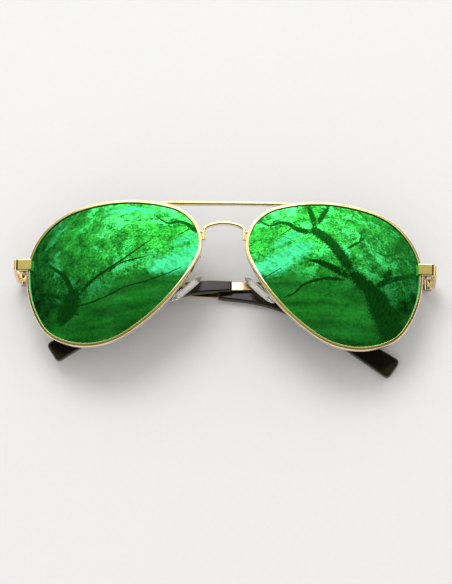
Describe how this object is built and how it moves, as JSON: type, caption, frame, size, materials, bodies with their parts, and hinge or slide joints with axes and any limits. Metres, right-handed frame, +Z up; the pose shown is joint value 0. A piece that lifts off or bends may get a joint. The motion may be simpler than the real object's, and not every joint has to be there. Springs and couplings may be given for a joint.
{
  "type": "aviator sunglasses",
  "caption": "Folding metal aviator sunglasses with mirrored teardrop lenses, a straight brow bar over a wire bridge, rocking nose pads and temples with slim dark ear tips.",
  "frame": {"origin": "middle of the folded glasses' box, on the surface they lie on", "axes": "+X across the face to the right-hand lens, +Y towards the brow bar, +Z up, out of the lenses"},
  "size_m": [0.1432, 0.055, 0.025],
  "materials": {
    "gold_metal": "polished pale gold plating",
    "screw_steel": "gold-washed steel",
    "mirror_lens": "polished polycarbonate with a green mirror coating",
    "tip_acetate": "polished black acetate",
    "pad_silicone": "clear silicone, slightly frosted",
    "pad_plate": "satin"
  },
  "bodies": {
    "left_temple": {"left_hinge_temple_leaf": "gold_metal", "left_temple_arm": "gold_metal", "left_temple_tip": "tip_acetate"},
    "front": {"bridge": "gold_metal", "brow_bar": "gold_metal", "left_end_piece": "gold_metal", "left_eyewire": "gold_metal", "left_hinge_front_leaf": "gold_metal", "left_hinge_screw": "screw_steel", "left_lens": "mirror_lens", "left_lock_lower": "gold_metal", "left_lock_screw": "screw_steel", "left_lock_upper": "gold_metal", "left_pad_arm": "gold_metal", "left_pad_box": "gold_metal", "left_pad_screw": "screw_steel", "right_end_piece": "gold_metal", "right_eyewire": "gold_metal", "right_hinge_front_leaf": "gold_metal", "right_hinge_screw": "screw_steel", "right_lens": "mirror_lens", "right_lock_lower": "gold_metal", "right_lock_screw": "screw_steel", "right_lock_upper": "gold_metal", "right_pad_arm": "gold_metal", "right_pad_box": "gold_metal", "right_pad_screw": "screw_steel"},
    "right_temple": {"right_hinge_temple_leaf": "gold_metal", "right_temple_arm": "gold_metal", "right_temple_tip": "tip_acetate"},
    "left_nose_pad": {"left_nose_pad": "pad_silicone", "left_pad_core": "pad_plate"},
    "right_nose_pad": {"right_nose_pad": "pad_silicone", "right_pad_core": "pad_plate"}
  },
  "joints": [
    {"name": "left hinge", "type": "hinge", "parent": "left_temple", "child": "front", "pos_m": [-0.069, 0.00614, 0.00266], "axis": [0, -0.9995, -0.033], "range_deg": [0, 90.8]},
    {"name": "right hinge", "type": "hinge", "parent": "front", "child": "right_temple", "pos_m": [0.069, 0.00614, 0.00266], "axis": [0, -0.9995, -0.033], "range_deg": [0, 93.2]},
    {"name": "left pad rock", "type": "hinge", "parent": "front", "child": "left_nose_pad", "pos_m": [-0.01413, -0.0014, 0.01988], "axis": [0.2209, -0.2771, 0.9351], "range_deg": [-7, 7]},
    {"name": "right pad rock", "type": "hinge", "parent": "front", "child": "right_nose_pad", "pos_m": [0.01413, -0.0014, 0.01988], "axis": [0.2209, 0.2771, -0.9351], "range_deg": [-7, 7]}
  ]
}
